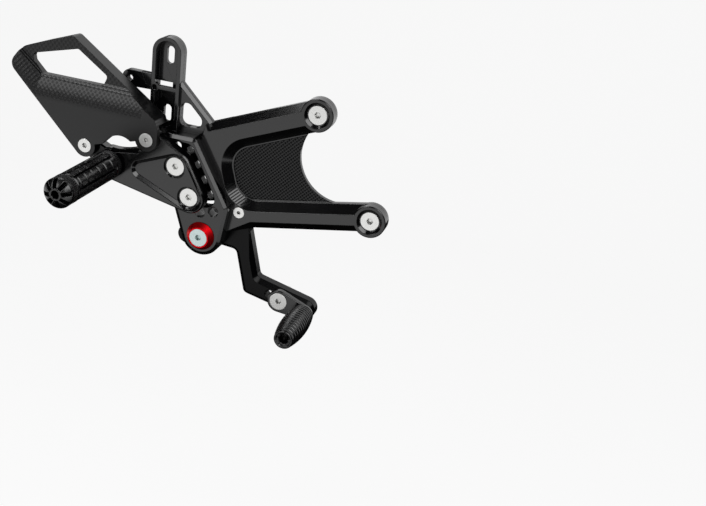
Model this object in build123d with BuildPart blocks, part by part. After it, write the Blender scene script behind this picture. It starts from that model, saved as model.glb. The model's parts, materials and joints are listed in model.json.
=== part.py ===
"""Rear set footrest, brake side: base plate, peg holder, foot peg, heel guard, brake lever and toe peg.

Frame: X forward, Y inward to the motorcycle, Z up. The origin is on the axis of the lower frame bolt,
in the plane of the base plate's inner face. "out" is the distance from that plane away from the
motorcycle, so out = -Y.
"""
import math
import os

from build123d import *

os.makedirs("parts", exist_ok=True)

# Base plate: two arms with a boss each, cut from one thick billet
plate_t = 12.0
boss_r = 14.0
lower_bolt = (0.0, 0.0)
upper_bolt = (-55.0, 81.0)
upper_arm_angle = 22.3
lower_arm_angle = 10.7
upper_arm_length = 98.0
lower_arm_length = 106.0
arm_flat_half = 5.8
lower_flat_half = 3.4
upper_arm_bevel = 6.4
upper_arm_bevel_drop = 6.0
lower_arm_bevel = 6.9
lower_arm_bevel_drop = 6.0
web_t = 5.0
pocket_bevel = 8.0
pocket_lip = 1.2
pocket_step = 1.0
pocket_back = (-125.5, 19.5)
pocket_back_angle = 16.5
pocket_corner_r = 19.0
web_edge_mid = (-67.5, 44.0)
bulge_low = (-127.0, -38.0)
web_reach = 2.25

# Adjuster pad, raised above the arms, with two rows of threaded position holes
pad_out = 22.0
pad_channel_depth = 12.0
pad_corner_r = 4.5
pad_bevel = 3.2
pad_bevel_drop = 1.6
pad_top_rear = (-184.0, 44.0)
pad_top_front = (-153.0, 44.0)
pad_front_low = (-128.0, -14.0)
pad_front_r = 6.5
pad_rear_low = (-166.5, -18.0)
first_hole = (-162.4, 30.7)
row_step = (6.9, -12.4)
row_count = 4
column_gap = 13.3
thread_play = 0.05
channel_margin = 4.0
spare_hole_front = (-134.2, -17.1)
spare_hole_rear = (-146.0, -20.0)
spare_hole_r = 4.6
spare_relief_r = 6.5
spare_relief_depth = 11.0
pivot = (-144.0, -41.5)
lobe_r = 18.0

# Master-cylinder tower, its gusset and the lug behind it
tower_x = -189.0
tower_w = 25.6
tower_top = 122.0
tower_foot = 38.0
tower_rim = 3.2
tower_web_t = 4.0
slot_pitch = 50.0
slot_low = 56.0
slot_w = 7.0
slot_l = 15.0
relief_low = 78.0
relief_high = 83.0
relief_w = 13.0
bridge_z = 78.5
bridge_h = 3.0
bridge_t = 3.5
clip_boss_r = 4.0
clip_hole_r = 2.1
gusset_in = 2.0
gusset_out = 9.0
gusset_top = 86.0
gusset_front = (-146.0, 56.5)
gusset_rib = 5.5
gusset_bevel = 2.6
gusset_corner_r = 6.0
gusset_window_low = 49.2
gusset_window_gap = 0.8
lug_eye = (-223.5, 81.0)
lug_r = 7.2
lug_hole_r = 2.6
lug_in = 1.0
lug_out = 7.0

# Screws: radius of thread, radius of head and width of the socket across flats
m8 = (4.0, 8.0, 5.0)
m6 = (3.0, 6.0, 4.0)
m5 = (2.5, 5.0, 3.0)
bolt_clearance = 0.25
frame_bolt_reach = 20.0
boss_recess_r = 11.0
boss_recess_depth = 2.0
boss_seat = 1.0
arm_relief_l = 78.0
edge_break = 0.6

# Peg holder, keyed into the pad's channel
holder_t = 10.0
holder_end_r = 13.6
holder_shift = (1.8, 0.8)
holder_edge = 1.2
holder_recess_depth = 2.5
holder_recess_bevel = 3.0
holder_rim = 1.6
recess_tip_reach = 19.6
recess_tip_r = 8.3
bolt_dish_r = 9.8
bolt_dish_depth = 1.6
holder_key_gap = 0.4
peg_axis = (-226.5, 10.4)
peg_boss_r = 14.2
ear_r = 8.0
saddle_r = 46.0
saddle_dip = 1.6
saddle_bevel = 3.6
saddle_drop = 4.0
holder_bolt_rows = (1, 3)

# Heel guard: a machined plate, stepped down above its crease to a frame round the window
guard_skin = 5.0
guard_depth = 21.4
guard_wall = 4.0
guard_screw_rear = (-248.5, 23.3)
guard_screw_front = (-192.5, 39.2)
guard_lobe_r = 9.8
guard_top_rear = (-311.3, 96.4)
guard_top_front = (-265.4, 113.0)
guard_low_front = (-185.3, 57.2)
guard_corner_rear = (-320.0, 82.0)
guard_corner_r = 9.0
guard_top_r = 4.0
guard_arch_peak = (-218.4, 42.2)
guard_arch_rear_angle = 46.0
guard_arch_front_angle = -30.0
guard_arch_leg = 40.0
guard_arch_r = 14.5
guard_tray_depth = 8.0
guard_crease_w = 0.6
guard_ledge = 0.6
guard_rear_part = 0.46
guard_crease_rear = (-311.3, 90.9)
guard_crease_mid = (-291.6, 74.6)
guard_crease_front = (-206.0, 72.3)
guard_slope_run = 18.0
guard_slope_drop = 4.0
guard_window_r = 3.0
guard_window = (
    (-302.0, 92.2), (-260.2, 102.8), (-233.0, 84.4), (-236.5, 76.2), (-291.5, 76.6), (-301.0, 86.0),
)
guard_open_below = 52.0
guard_tail_t = 6.0

# Foot peg
peg_r = 12.6
peg_length = 90.5
peg_collar = 7.0
peg_neck_r = 9.6
peg_neck = 2.6
peg_flutes = 8
peg_flute_w = 5.0
peg_flute_depth = 2.2
peg_end_band = 14.0
peg_groove_w = 2.0
peg_groove_depth = 1.4
peg_slots = 8
peg_slot_w = 3.6
peg_slot_l = 6.0
peg_slot_depth = 5.0
peg_tip_bore_r = 3.6
peg_tip_bore_depth = 22.0
peg_bolt_length = 30.0

# Pivot: sleeve, two ball bearings, collar, bolt, washer and nut
sleeve_r = 6.0
bearing_r = 10.5
bearing_w = 5.0
race_t = 1.3
ball_r = 1.4
ball_count = 10
ball_play = 0.05
cage_t = 0.8
cage_w = 1.6
bearing_gap = 6.0
shim_t = 0.6
washer_t = 1.6
washer_r = 8.0
nut_h = 6.5
nut_af = 13.0
collar_r = 12.6
collar_top_r = 9.2
collar_h = 5.5

# Brake lever, behind the plate
lever_t = 12.0
hub_r = 15.0
lever_pushrod = (-165.8, -52.8)
pushrod_lug_r = 8.5
pushrod_hole_r = 4.0
stop_point = (-114.7, -17.0)
stop_r = 5.0
stop_h = 9.0
stop_gap = 0.3
lever_stem_top = (-108.0, -38.5)
lever_stem_foot = (-97.3, -79.0)
lever_stem_w = 16.4
lever_gap = 0.5
toe_axis = (-49.2, -101.3)
lever_toe_angle = -13.5
lever_end_r = 9.5
lever_end_back = 1.5
lever_heel_drop = 1.2
lever_slot_w = 8.6
lever_slot_l = 30.0
lever_bevel = 4.0
index_pitch = 2.0
index_w = 0.7
index_depth = 0.5
index_l = 3.5
index_count = 13
lever_bend_r = 5.0
toe_section_l = 38.0

# Toe peg and its carrier, clamped in the lever's slot
carrier_t = 4.5
carrier_r = 10.4
carrier_end_r = 7.0
carrier_screw_x = 25.0
carrier_play = 0.05
toe_peg_root_r = 9.2
toe_peg_r = 11.8
toe_peg_length = 55.5
toe_peg_end_r = 8.2
toe_groove_pitch = 3.9
toe_groove_w = 1.6
toe_groove_depth = 0.9
toe_groove_count = 13
toe_bore_r = 5.3
toe_bore_depth = 8.0
toe_slots = 6
toe_slot_w = 2.2
toe_slot_depth = 1.4

# Levels and places worked out from the sizes above
holder_out = pad_out + holder_t
guard_out = holder_out + guard_skin
channel_out = pad_out - pad_channel_depth
upper_side = arm_flat_half + upper_arm_bevel
lower_side = lower_flat_half + lower_arm_bevel
pocket_side = arm_flat_half + pocket_bevel


def level(out):
    """Plane parallel to the base plate, at a distance outwards from its inner face."""
    return Plane.XZ.offset(out)


def spot(point, out):
    """The same plane, with its origin moved to a point of the side view."""
    return Plane(origin=(point[0], -out, point[1]), x_dir=(1, 0, 0), z_dir=(0, -1, 0))


def axis_at(point):
    """Axis through a point of the side view, square to the base plate."""
    return Axis((point[0], 0, point[1]), (0, 1, 0))


def half_section(point):
    """Plane through a turned piece's axis: local x is the radius, local y goes inwards."""
    return Plane(origin=(point[0], 0, point[1]), x_dir=(1, 0, 0), z_dir=(0, 0, 1))


def cross_section(start, angle):
    """Plane square to a direction in the side view: local x goes to its left, local y inwards."""
    turn = math.radians(angle)
    return Plane(
        origin=(start[0], 0, start[1]),
        x_dir=(-math.sin(turn), 0, math.cos(turn)),
        z_dir=(-math.cos(turn), 0, -math.sin(turn)),
    )


def along(start, angle, forward, left):
    """Point reached from start by going forward at an angle, then square to it to the left."""
    turn = math.radians(angle)
    return (
        start[0] + forward * math.cos(turn) - left * math.sin(turn),
        start[1] + forward * math.sin(turn) + left * math.cos(turn),
    )


def crossing(first, first_angle, second, second_angle):
    """Point where two lines, each given by a point and an angle, cross in the side view."""
    a, b = math.radians(first_angle), math.radians(second_angle)
    dx, dz = second[0] - first[0], second[1] - first[1]
    reach = (dx * math.sin(b) - dz * math.cos(b)) / math.sin(b - a)
    return along(first, first_angle, reach, 0)


def distance(first, second):
    return math.hypot(second[0] - first[0], second[1] - first[1])


def angle_of(first, second):
    return math.degrees(math.atan2(second[1] - first[1], second[0] - first[0]))


def finish(builder, label):
    """Name a finished piece and write it."""
    builder.part.label = label
    export_step(builder.part, f"parts/{label}.step")


holes_front = [
    (first_hole[0] + row * row_step[0], first_hole[1] + row * row_step[1]) for row in range(row_count)
]
holes_rear = [(x - column_gap, z) for x, z in holes_front]
holder_bolts = [holes_rear[row] for row in holder_bolt_rows]
holder_corners = [(x + holder_shift[0], z + holder_shift[1]) for x, z in holder_bolts]
channel_corners = [holes_front[0], holes_front[-1]] + [(x - 2 * column_gap, z) for x, z in holes_rear]

# Base plate
pocket_top_line = along(upper_bolt, upper_arm_angle, 0, -pocket_side)
pocket_low_line = along(lower_bolt, lower_arm_angle, 0, pocket_side)
pocket_back_line = 90 + pocket_back_angle
web_front_top = along(pocket_top_line, upper_arm_angle, -boss_r, 0)
web_front_low = along(pocket_low_line, lower_arm_angle, -web_reach * boss_r, 0)
pocket_mouth = 3 * boss_r
arm_relief = (
    along(upper_bolt, upper_arm_angle, boss_r, boss_r + upper_side),
    along(upper_bolt, upper_arm_angle, -arm_relief_l, boss_r + upper_side),
    along(lower_bolt, lower_arm_angle, -arm_relief_l, -boss_r - lower_side),
    along(lower_bolt, lower_arm_angle, 2 * boss_r, -boss_r - lower_side),
)
bevel_overrun = 4.0
bulge_front = along(lower_bolt, lower_arm_angle, -lower_arm_length, -lower_flat_half)
bulge_angle = angle_of(bulge_low, bulge_front)
bulge_l = distance(bulge_low, bulge_front) + bevel_overrun

with BuildPart() as base_plate:
    with BuildSketch(level(0)) as arms:
        with BuildLine():
            Polyline(
                web_front_top,
                along(upper_bolt, upper_arm_angle, 0, -boss_r),
                along(upper_bolt, upper_arm_angle, 0, upper_side),
                along(upper_bolt, upper_arm_angle, -upper_arm_length, upper_side),
                pad_top_front,
                holes_rear[-1],
                pivot,
                bulge_low,
                along(lower_bolt, lower_arm_angle, -lower_arm_length, -lower_side),
                along(lower_bolt, lower_arm_angle, 0, -lower_side),
                along(lower_bolt, lower_arm_angle, 0, boss_r),
                web_front_low,
            )
            ThreePointArc(web_front_low, web_edge_mid, web_front_top)
        make_face()
    extrude(amount=plate_t)
    # Pocket between the arms, open to the front: one wide bevel all round, a narrow lip, then the web
    lip_out = web_t + pocket_step
    pocket_slope = math.degrees(math.atan2(pocket_bevel, plate_t - lip_out))
    for floor_out, inset, depth, slope in (
        (lip_out, 0, plate_t - lip_out, -pocket_slope),
        (web_t, pocket_lip, pocket_step, 0),
    ):
        top_start = along(pocket_top_line, upper_arm_angle, 0, -inset)
        low_start = along(pocket_low_line, lower_arm_angle, 0, inset)
        back_start = along(pocket_back, pocket_back_line, 0, -inset)
        with BuildSketch(level(floor_out)) as pocket:
            with BuildLine():
                Polyline(
                    along(top_start, upper_arm_angle, pocket_mouth, 0),
                    crossing(top_start, upper_arm_angle, back_start, pocket_back_line),
                    crossing(low_start, lower_arm_angle, back_start, pocket_back_line),
                    along(low_start, lower_arm_angle, pocket_mouth, 0),
                    close=True,
                )
            make_face()
            fillet(pocket.vertices().sort_by(Axis.X)[:2], pocket_corner_r - inset)
        extrude(amount=depth, taper=slope, mode=Mode.SUBTRACT)
    # Wide bevels along the top of the upper arm, under the lower arm and on under the bulge behind it
    upper_cut = (upper_arm_bevel, upper_arm_bevel_drop)
    lower_cut = (lower_arm_bevel, lower_arm_bevel_drop)
    for start, angle, length, side, flat, (bevel, drop) in (
        (upper_bolt, upper_arm_angle, upper_arm_length, 1, arm_flat_half, upper_cut),
        (lower_bolt, lower_arm_angle, lower_arm_length, -1, lower_flat_half, lower_cut),
        (bulge_front, bulge_angle, bulge_l, -1, 0, lower_cut),
    ):
        far = flat + bevel + bevel_overrun
        rise = drop * (bevel + bevel_overrun) / bevel
        with BuildSketch(cross_section(start, angle)):
            with BuildLine():
                Polyline(
                    (side * flat, -plate_t),
                    (side * far, -plate_t),
                    (side * far, -plate_t + rise),
                    close=True,
                )
            make_face()
        extrude(amount=length, mode=Mode.SUBTRACT)
    # Frame bosses, with a broken front edge
    for boss in (upper_bolt, lower_bolt):
        with BuildSketch(half_section(boss)):
            with BuildLine():
                Polyline(
                    (0, 0),
                    (boss_r, 0),
                    (boss_r, -plate_t + edge_break),
                    (boss_r - edge_break, -plate_t),
                    (0, -plate_t),
                    close=True,
                )
            make_face()
        revolve(axis=axis_at(boss))
    # Behind, the arms are relieved so that only the bosses seat on the frame
    with BuildSketch(level(0)):
        with BuildLine():
            Polyline(*arm_relief, close=True)
        make_face()
        with Locations(upper_bolt, lower_bolt):
            Circle(boss_r, mode=Mode.SUBTRACT)
    extrude(amount=boss_seat, mode=Mode.SUBTRACT)
    # Tower for the master cylinder, gusset and rear lug
    with BuildSketch(level(0)):
        with BuildLine():
            Polyline(
                (tower_x + tower_w / 2, tower_top - tower_w / 2),
                (tower_x + tower_w / 2, tower_foot),
                (tower_x - tower_w / 2, tower_foot),
                (tower_x - tower_w / 2, tower_top - tower_w / 2),
            )
            ThreePointArc(
                (tower_x - tower_w / 2, tower_top - tower_w / 2),
                (tower_x, tower_top),
                (tower_x + tower_w / 2, tower_top - tower_w / 2),
            )
        make_face()
    extrude(amount=plate_t)
    with BuildSketch(level(gusset_in)):
        with BuildLine():
            Polyline(
                (tower_x, gusset_top + tower_w / 2),
                gusset_front,
                (gusset_front[0], tower_foot),
                (tower_x, tower_foot),
                close=True,
            )
        make_face()
    extrude(amount=gusset_out - gusset_in)
    with BuildSketch(level(lug_in)):
        with Locations(lug_eye):
            Circle(lug_r)
        with Locations((tower_x - tower_w / 2 + lug_r, lug_eye[1])):
            Circle(lug_r - edge_break)
        make_hull()
    extrude(amount=lug_out - lug_in)
    # Adjuster pad and pivot lobe
    with BuildSketch(level(0)):
        with Locations(
            (pad_top_rear[0] + pad_corner_r, pad_top_rear[1] - pad_corner_r),
            (pad_top_front[0] - pad_corner_r, pad_top_front[1] - pad_corner_r),
            pad_rear_low,
        ):
            Circle(pad_corner_r)
        with Locations(pad_front_low):
            Circle(pad_front_r)
        with Locations(pivot):
            Circle(lobe_r)
        make_hull()
    extrude(amount=pad_out)
    pad_face = base_plate.faces().sort_by(Axis.Y)[0]
    chamfer(pad_face.outer_wire().edges(), pad_bevel, pad_bevel_drop, reference=pad_face)
    # Channel for the peg holder, open to the rear, with its rows of threaded holes
    with BuildSketch(level(channel_out)):
        with Locations(*channel_corners):
            Circle(m8[0] + channel_margin)
        make_hull()
    extrude(amount=pad_channel_depth, mode=Mode.SUBTRACT)
    with BuildSketch(level(0)):
        with Locations(holes_front + holes_rear):
            Circle(m8[0] + thread_play)
        with Locations(spare_hole_front, spare_hole_rear):
            Circle(spare_hole_r)
        with Locations(pivot):
            Circle(m8[0] + bolt_clearance)
    extrude(amount=pad_out, mode=Mode.SUBTRACT)
    # Relief behind the two spare holes
    with BuildSketch(level(0)):
        with Locations(spare_hole_front, spare_hole_rear):
            Circle(spare_relief_r)
        make_hull()
    extrude(amount=spare_relief_depth, mode=Mode.SUBTRACT)
    # Pocket of the tower, its two slots, the relief between them and the bridge in front of it
    recess_r = tower_w / 2 - tower_rim
    recess_low = slot_low - slot_l / 2 - tower_rim
    with BuildSketch(level(tower_web_t)):
        with Locations((tower_x, tower_top - tower_w / 2), (tower_x, recess_low + recess_r)):
            Circle(recess_r)
        make_hull()
    extrude(amount=plate_t - tower_web_t, mode=Mode.SUBTRACT)
    with BuildSketch(level(0)):
        with Locations((tower_x, slot_low), (tower_x, slot_low + slot_pitch)):
            SlotOverall(slot_l, slot_w, rotation=90)
        with Locations((tower_x - recess_r + relief_w / 2, (relief_low + relief_high) / 2)):
            Rectangle(relief_w, relief_high - relief_low)
    extrude(amount=tower_web_t, mode=Mode.SUBTRACT)
    with BuildSketch(level(plate_t - bridge_t)):
        with Locations((tower_x, bridge_z)):
            Rectangle(2 * recess_r + tower_rim, bridge_h)
        with Locations((tower_x - recess_r, bridge_z)):
            Circle(clip_boss_r)
    extrude(amount=bridge_t)
    with BuildSketch(level(plate_t - bridge_t)):
        with Locations((tower_x - recess_r, bridge_z)):
            Circle(clip_hole_r)
    extrude(amount=bridge_t, mode=Mode.SUBTRACT)
    # Gusset bevel and window, and the lug eye
    gusset_angle = angle_of((tower_x, gusset_top + tower_w / 2), gusset_front)
    gusset_root = crossing(gusset_front, gusset_angle, (tower_x + tower_w / 2, 0), 90)
    with BuildSketch(cross_section(gusset_front, gusset_angle)):
        with BuildLine():
            Polyline(
                (-gusset_bevel, -gusset_out),
                (edge_break, -gusset_out),
                (edge_break, -gusset_out + gusset_bevel + edge_break),
                close=True,
            )
        make_face()
    extrude(amount=distance(gusset_root, gusset_front), mode=Mode.SUBTRACT)
    window_line = along(gusset_front, gusset_angle, 0, -gusset_rib)
    window_rear = tower_x + tower_w / 2 + gusset_window_gap
    with BuildSketch(level(0)) as gusset_window:
        with BuildLine():
            Polyline(
                crossing(window_line, gusset_angle, (window_rear, 0), 90),
                crossing(window_line, gusset_angle, (0, gusset_window_low), 0),
                (window_rear, gusset_window_low),
                close=True,
            )
        make_face()
        fillet(gusset_window.vertices(), gusset_corner_r)
    extrude(amount=plate_t, mode=Mode.SUBTRACT)
    with BuildSketch(level(0)):
        with Locations(lug_eye):
            Circle(lug_hole_r)
    extrude(amount=plate_t, mode=Mode.SUBTRACT)
    # Dished seats of the frame bolts, and the seat of the small stop screw
    for point in (upper_bolt, lower_bolt):
        with BuildSketch(half_section(point)):
            with BuildLine():
                Polyline(
                    (0, -plate_t + boss_recess_depth),
                    (m8[1] + edge_break, -plate_t + boss_recess_depth),
                    (boss_recess_r, -plate_t),
                    (boss_recess_r, -plate_t - edge_break),
                    (0, -plate_t - edge_break),
                    close=True,
                )
            make_face()
        revolve(axis=axis_at(point), mode=Mode.SUBTRACT)
    with Locations(*[spot(point, plate_t - boss_recess_depth) for point in (upper_bolt, lower_bolt)]):
        CounterSinkHole(m8[0] + bolt_clearance, m8[1] + thread_play, plate_t, 90)
    with Locations(spot(stop_point, plate_t)):
        CounterSinkHole(m5[0] + thread_play, m5[1] + thread_play, plate_t, 90)
finish(base_plate, "base_plate")


def countersunk_screw(label, point, head_out, length, size, relief_out=None):
    """Socket screw with a flat countersunk head, its face at head_out; relief_out adds a neck there."""
    thread_r, head_r, socket_af = size
    rim = edge_break
    socket_depth = thread_r * 0.8
    with BuildPart() as screw:
        with BuildSketch(half_section(point)):
            with BuildLine():
                Polyline(
                    (0, -head_out),
                    (head_r, -head_out),
                    (thread_r + rim, -head_out + head_r - thread_r - rim),
                    (thread_r, -head_out + head_r - thread_r),
                    (thread_r, -head_out + length - rim),
                    (thread_r - rim, -head_out + length),
                    (0, -head_out + length),
                    close=True,
                )
            make_face()
        revolve(axis=axis_at(point))
        with BuildSketch(spot(point, head_out)):
            RegularPolygon(radius=socket_af / 2, side_count=6, major_radius=False)
        extrude(amount=-socket_depth, mode=Mode.SUBTRACT)
        if relief_out is not None:
            with BuildSketch(half_section(point)):
                with Locations((thread_r, -relief_out - rim / 2)):
                    Rectangle(2 * rim, rim)
            revolve(axis=axis_at(point), mode=Mode.SUBTRACT)
    finish(screw, label)


# Frame bolts reach past the inner face into the motorcycle's frame
boss_floor = plate_t - boss_recess_depth
for label, point in (("frame_bolt_upper", upper_bolt), ("frame_bolt_lower", lower_bolt)):
    countersunk_screw(label, point, boss_floor, boss_floor + frame_bolt_reach, m8, relief_out=0)

# Peg holder: a three-cornered plate with a rimmed recess, two ears for the heel guard and a key below
holder_floor_out = holder_out - holder_recess_depth
holder_screw_out = holder_floor_out - bolt_dish_depth
top_run = angle_of(peg_axis, holder_corners[0])
ear_reach = distance(guard_screw_front, holder_corners[0])
saddle_start = along(holder_corners[0], top_run, -ear_reach, holder_end_r)
saddle_middle = along(peg_axis, top_run, peg_boss_r - 2 * holder_edge, peg_boss_r + saddle_r - saddle_dip)
with BuildPart() as peg_holder:
    with BuildSketch(level(pad_out)):
        with Locations(*holder_corners):
            Circle(holder_end_r)
        with Locations(peg_axis):
            Circle(peg_boss_r)
        make_hull()
        with Locations(saddle_middle):
            Circle(saddle_r, mode=Mode.SUBTRACT)
    extrude(amount=holder_t)
    for ear, root, root_r in (
        (guard_screw_rear, peg_axis, peg_boss_r - ear_r / 2),
        (guard_screw_front, holder_corners[0], holder_end_r),
    ):
        with BuildSketch(level(pad_out)):
            with Locations(ear):
                Circle(ear_r)
            with Locations(root):
                Circle(root_r)
            make_hull()
        extrude(amount=holder_t)
    chamfer(peg_holder.faces().sort_by(Axis.Y)[0].outer_wire().edges(), holder_edge)
    # Bevel along the top edge, from above the peg to the front ear
    with BuildSketch(cross_section(saddle_start, top_run)):
        with BuildLine():
            Polyline(
                (-saddle_bevel, -holder_out),
                (holder_edge, -holder_out),
                (holder_edge, -holder_out + saddle_drop * (saddle_bevel + holder_edge) / saddle_bevel),
                close=True,
            )
        make_face()
    extrude(amount=saddle_start[0] - peg_axis[0], mode=Mode.SUBTRACT)
    # Recess between the bolts and the peg, with sloping walls
    recess_tip = (peg_axis[0] + recess_tip_reach + recess_tip_r, peg_axis[1])
    with BuildSketch(level(holder_floor_out)):
        with Locations(*holder_corners):
            Circle(holder_end_r - holder_rim - holder_recess_bevel)
        with Locations(recess_tip):
            Circle(recess_tip_r - holder_recess_bevel)
        make_hull()
    recess_slope = math.degrees(math.atan2(holder_recess_bevel, holder_recess_depth))
    extrude(amount=holder_recess_depth, taper=-recess_slope, mode=Mode.SUBTRACT)
    # Dished seats of the two bolts
    for point in holder_bolts:
        with BuildSketch(half_section(point)):
            with BuildLine():
                Polyline(
                    (0, -holder_screw_out),
                    (m8[1] + edge_break, -holder_screw_out),
                    (bolt_dish_r, -holder_floor_out),
                    (bolt_dish_r, -holder_out - edge_break),
                    (0, -holder_out - edge_break),
                    close=True,
                )
            make_face()
        revolve(axis=axis_at(point), mode=Mode.SUBTRACT)
    # Key that seats on the channel's floor
    key_r = m8[0] + channel_margin - holder_key_gap
    with BuildSketch(level(channel_out)):
        with Locations(*holder_bolts):
            Circle(key_r)
        make_hull()
    extrude(amount=pad_channel_depth)
    with Locations(*[spot(point, holder_screw_out) for point in holder_bolts]):
        CounterSinkHole(m8[0] + bolt_clearance, m8[1] + thread_play, holder_out, 90)
    with Locations(*[spot(point, holder_out) for point in (guard_screw_rear, guard_screw_front)]):
        Hole(m6[0] + thread_play, holder_t)
    peg_bolt_seat = Plane(origin=(peg_axis[0], -pad_out, peg_axis[1]), x_dir=(1, 0, 0), z_dir=(0, 1, 0))
    with Locations(peg_bolt_seat):
        CounterSinkHole(m8[0] + bolt_clearance, m8[1] + thread_play, holder_t, 90)
finish(peg_holder, "peg_holder")

holder_bolt_length = holder_screw_out - 2 * edge_break
for label, point in zip(("holder_bolt_upper", "holder_bolt_lower"), holder_bolts):
    countersunk_screw(label, point, holder_screw_out, holder_bolt_length, m8)

# Foot peg: turned bar with milled flutes, a grooved end band and a slotted crown
peg_out = holder_out + peg_length
with BuildPart() as foot_peg:
    with BuildSketch(half_section(peg_axis)):
        with BuildLine():
            Polyline(
                (0, -holder_out),
                (peg_neck_r, -holder_out),
                (peg_neck_r, -holder_out - peg_neck),
                (peg_r - peg_groove_depth, -holder_out - peg_neck),
                (peg_r, -holder_out - peg_neck - peg_groove_depth),
                (peg_r, -peg_out + peg_end_band),
                (peg_r - peg_groove_depth, -peg_out + peg_end_band),
                (peg_r - peg_groove_depth, -peg_out + peg_end_band - peg_groove_w),
                (peg_r, -peg_out + peg_end_band - peg_groove_w),
                (peg_r, -peg_out + peg_groove_depth),
                (peg_r - peg_groove_depth, -peg_out),
                (0, -peg_out),
                close=True,
            )
        make_face()
    revolve(axis=axis_at(peg_axis))
    flute_l = peg_length - peg_collar - peg_end_band - peg_groove_w
    with BuildSketch(spot(peg_axis, holder_out + peg_collar)):
        with PolarLocations(peg_r, peg_flutes):
            Rectangle(2 * peg_flute_depth, peg_flute_w)
    extrude(amount=flute_l, mode=Mode.SUBTRACT)
    with BuildSketch(spot(peg_axis, peg_out)):
        with PolarLocations(peg_r + edge_break - peg_slot_l / 2, peg_slots):
            Rectangle(peg_slot_l, peg_slot_w)
    extrude(amount=-peg_slot_depth, mode=Mode.SUBTRACT)
    with BuildSketch(spot(peg_axis, peg_out)):
        Circle(peg_tip_bore_r)
    extrude(amount=-peg_tip_bore_depth, mode=Mode.SUBTRACT)
    with Locations(spot(peg_axis, holder_out + peg_bolt_length - holder_t + 2 * edge_break)):
        Hole(m8[0] + thread_play, peg_bolt_length)
finish(foot_peg, "foot_peg")

# The peg's bolt comes from the back of the holder, so it is drawn mirrored
with BuildPart() as foot_peg_bolt:
    with BuildSketch(half_section(peg_axis)):
        with BuildLine():
            Polyline(
                (0, -pad_out),
                (m8[1], -pad_out),
                (m8[0], -pad_out - m8[1] + m8[0]),
                (m8[0], -pad_out - peg_bolt_length),
                (0, -pad_out - peg_bolt_length),
                close=True,
            )
        make_face()
    revolve(axis=axis_at(peg_axis))
    with BuildSketch(spot(peg_axis, pad_out)):
        RegularPolygon(radius=m8[2] / 2, side_count=6, major_radius=False)
    extrude(amount=m8[0], mode=Mode.SUBTRACT)
finish(foot_peg_bolt, "foot_peg_bolt")

# Heel guard: outline of the plate, its hollow back, the stepped frame and the window
guard_back = guard_out - guard_depth
tray_out = guard_out - guard_tray_depth
crease_angle = angle_of(guard_crease_mid, guard_crease_front)
crease_rear_angle = angle_of(guard_crease_rear, guard_crease_mid)
lobe_slope = angle_of(guard_screw_rear, guard_corner_rear)
front_angle = angle_of(guard_top_front, guard_low_front)
top_angle = angle_of(guard_top_rear, guard_top_front)
rear_edge_foot = along(guard_screw_rear, lobe_slope, 0, guard_lobe_r)
slope_out = guard_out - guard_slope_drop
slope_r = (guard_slope_run**2 + guard_slope_drop**2) / (2 * guard_slope_drop)
slope_overrun = guard_slope_run / 2
slope_half = math.asin(guard_slope_run / slope_r) / 2
slope_mid = (
    slope_r * math.sin(slope_half) - guard_slope_run,
    slope_r * (1 - math.cos(slope_half)) - guard_out,
)


def beside_crease(left, rear_left):
    """The crease's line moved sideways, from past its rear end to past its front end."""
    rear = along(guard_crease_rear, crease_rear_angle, -slope_overrun, rear_left)
    front = along(guard_crease_front, crease_angle, slope_overrun, left)
    return [rear, crossing(rear, crease_rear_angle, front, crease_angle), front]


def above_crease(left):
    """All of the guard above the crease's line moved sideways, less far along its rear part."""
    line = beside_crease(left, left * guard_rear_part)
    high = guard_top_front[1] + guard_depth
    return [*line, (line[-1][0], high), (line[0][0], high)]


step_half = (slope_out - tray_out) / 2
step_out = tray_out + step_half
step_left = guard_crease_w + step_half
frame_tiers = (
    (step_out, guard_out + edge_break, step_left),
    (tray_out, step_out, step_left + guard_ledge + step_half),
)
guard_inside = (
    along(guard_corner_rear, top_angle, guard_corner_r, -guard_wall),
    along(guard_top_rear, top_angle, guard_corner_r, -guard_wall),
    crossing(
        along(guard_top_front, top_angle, 0, -guard_wall), top_angle,
        along(guard_top_front, front_angle, 0, -guard_wall), front_angle,
    ),
    along(guard_low_front, front_angle, -guard_wall, -guard_wall),
    (guard_low_front[0] - guard_wall, guard_open_below - guard_wall),
    (guard_screw_rear[0], guard_open_below - guard_wall),
)
field_inside = (
    along(guard_crease_mid, crease_angle, guard_wall, -guard_wall - guard_skin),
    along(guard_crease_front, crease_angle, 0, -guard_wall - guard_skin),
    (guard_low_front[0] - guard_wall - guard_skin, guard_open_below - guard_wall),
    (guard_screw_rear[0], guard_open_below - guard_wall),
)
guard_tail_start = guard_crease_mid[0]
# What is milled off below the crease: the face rolls down to it in an arc
with BuildPart() as slope_cut:
    with BuildSketch(level(slope_out)):
        with BuildLine():
            edge = beside_crease(step_left, step_left)
            far_edge = beside_crease(-guard_slope_run, -guard_slope_run)
            Polyline(*edge, *reversed(far_edge), close=True)
        make_face()
    extrude(amount=guard_slope_drop + edge_break)
    for end, angle in ((guard_crease_rear, crease_rear_angle), (guard_crease_front, crease_angle)):
        with BuildSketch(cross_section(end, angle)):
            with BuildLine():
                ThreePointArc((0, -slope_out), slope_mid, (-guard_slope_run, -guard_out))
                Polyline(
                    (-guard_slope_run, -guard_out),
                    (-guard_slope_run, -guard_out - guard_slope_drop),
                    (guard_depth * 6, -guard_out - guard_slope_drop),
                    (guard_depth * 6, -slope_out),
                    (0, -slope_out),
                )
            make_face()
        extrude(amount=guard_depth * 12, both=True, mode=Mode.INTERSECT)
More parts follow.
